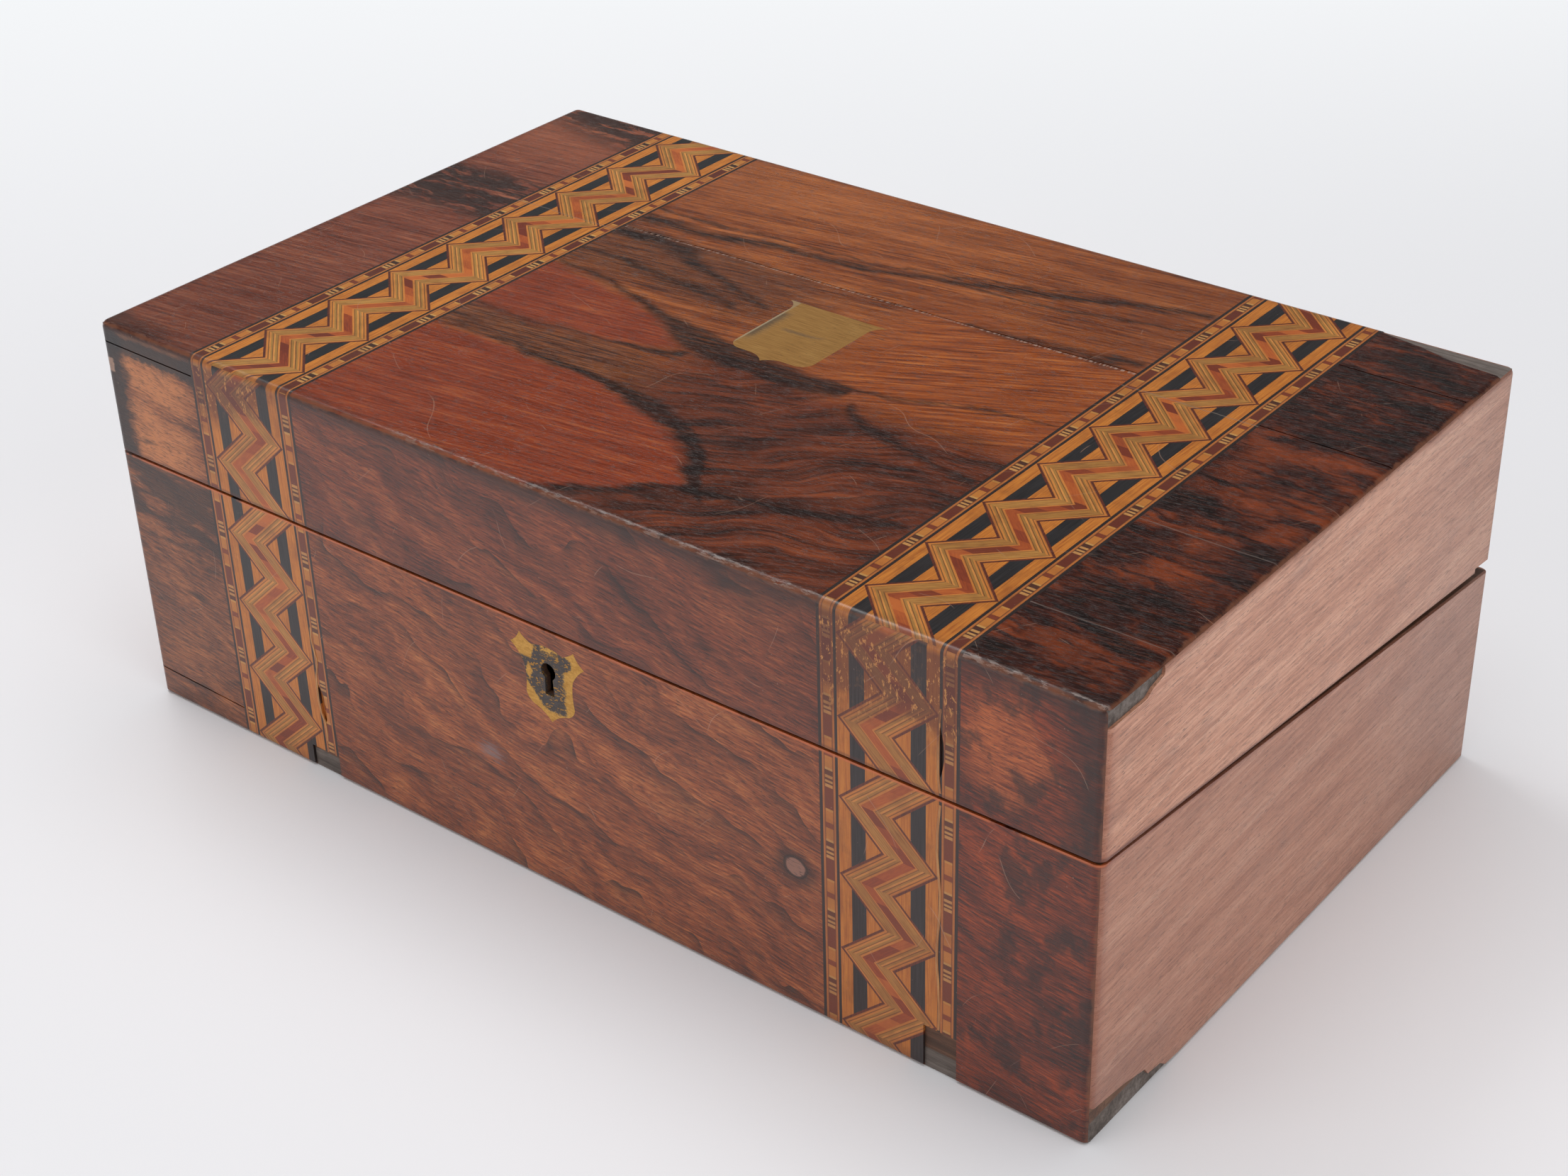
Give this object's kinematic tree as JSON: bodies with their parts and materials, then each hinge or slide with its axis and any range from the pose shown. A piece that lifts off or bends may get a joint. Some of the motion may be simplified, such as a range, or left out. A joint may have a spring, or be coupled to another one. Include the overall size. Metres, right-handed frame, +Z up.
{
  "type": "writing box",
  "caption": "Hinged wooden writing box with parquetry bands that opens flat into a sloping writing surface over paper compartments, with a pen tray and inkwells.",
  "frame": {"origin": "middle of the underside of the closed box, on the surface it stands on", "axes": "X along the box to the right seen from the lock side, Y from the lock side to the hinges, Z up"},
  "size_m": [0.4, 0.2436, 0.15],
  "materials": {
    "walnut_veneer": "worn french polish",
    "side_veneer": "dull worn polish",
    "pine_board": "bare aged wood",
    "mahogany": "satin polish",
    "ebony": "worn polish",
    "boxwood": "worn polish",
    "olive_wood": "worn polish",
    "tulipwood": "worn polish",
    "rosewood": "worn polish",
    "brass": "tarnished",
    "lock_brass": "dull",
    "lock_steel": "dull",
    "glass": "clear",
    "leather": "worn"
  },
  "bodies": {
    "base": {"base_back_board": "pine_board", "base_back_veneer": "side_veneer", "base_band_black": "ebony", "base_band_chequers": "boxwood", "base_band_lines": "ebony", "base_band_orange": "boxwood", "base_bottom_board": "pine_board", "base_flap_hinge_plates": "brass", "base_front_board": "pine_board", "base_front_veneers": "walnut_veneer", "base_hinge_leaves": "brass", "base_ledges": "mahogany", "base_left_board": "pine_board", "base_left_veneer": "side_veneer", "base_right_board": "pine_board", "base_right_veneer": "side_veneer", "base_zigzag_olive": "olive_wood", "base_zigzag_outlines": "rosewood", "base_zigzag_red": "tulipwood", "escutcheon": "brass", "hinge_pins": "lock_steel", "inkwell_boxes": "mahogany", "inkwell_collars": "brass", "inkwells": "glass", "lock_case": "lock_brass", "pen_tray": "mahogany", "tray_divider": "mahogany"},
    "lid": {"cartouche": "brass", "lid_back_board": "pine_board", "lid_back_veneer": "side_veneer", "lid_band_black": "ebony", "lid_band_chequers": "boxwood", "lid_band_lines": "ebony", "lid_band_orange": "boxwood", "lid_flap_hinge_plates": "brass", "lid_front_board": "pine_board", "lid_front_veneers": "walnut_veneer", "lid_hinge_leaves": "brass", "lid_ledges": "mahogany", "lid_left_board": "pine_board", "lid_left_veneer": "side_veneer", "lid_right_board": "pine_board", "lid_right_veneer": "side_veneer", "lid_top_board": "pine_board", "lid_top_veneers": "walnut_veneer", "lid_zigzag_olive": "olive_wood", "lid_zigzag_outlines": "rosewood", "lid_zigzag_red": "tulipwood", "link_plate": "lock_brass"},
    "base_flap": {"base_flap_board": "mahogany", "base_flap_leather": "leather", "base_flap_hinge_leaves": "brass"},
    "lid_flap": {"lid_flap_board": "mahogany", "lid_flap_leather": "leather", "lid_flap_hinge_leaves": "brass"},
    "inkwell_cap_left": {"inkwell_cap_left": "brass"},
    "inkwell_cap_right": {"inkwell_cap_right": "brass"},
    "lock_bolt": {"lock_bolt": "lock_steel"}
  },
  "joints": [
    {"name": "lid_hinge", "type": "hinge", "parent": "base", "child": "lid", "pos_m": [0, 0.1215, 0.0763], "axis": [-1, 0, 0], "range_deg": [0, 180]},
    {"name": "base_flap_hinge", "type": "hinge", "parent": "base", "child": "base_flap", "pos_m": [0, 0.0975, 0.07622], "axis": [-1, 0, 0], "range_deg": [0, 60]},
    {"name": "lid_flap_hinge", "type": "hinge", "parent": "lid", "child": "lid_flap", "pos_m": [0, 0.0975, 0.081], "axis": [1, 0, 0], "range_deg": [0, 60]},
    {"name": "inkwell_cap_left_hinge", "type": "hinge", "parent": "base", "child": "inkwell_cap_left", "pos_m": [-0.1705, -0.0782, 0.08169], "axis": [-1, 0, 0], "range_deg": [0, 90]},
    {"name": "inkwell_cap_right_hinge", "type": "hinge", "parent": "base", "child": "inkwell_cap_right", "pos_m": [0.1705, -0.0782, 0.08169], "axis": [-1, 0, 0], "range_deg": [0, 90]},
    {"name": "lock_bolt_slide", "type": "slide", "parent": "base", "child": "lock_bolt", "axis": [1, 0, 0], "range_m": [0, 0.005]}
  ],
  "couplings": [
    {"joint": "base_flap_hinge", "follows": "lid_hinge", "ratio": 0.33333},
    {"joint": "lid_flap_hinge", "follows": "lid_hinge", "ratio": 0.33333},
    {"joint": "inkwell_cap_left_hinge", "follows": "lid_hinge", "ratio": 0.5},
    {"joint": "inkwell_cap_right_hinge", "follows": "lid_hinge", "ratio": 0.5}
  ]
}
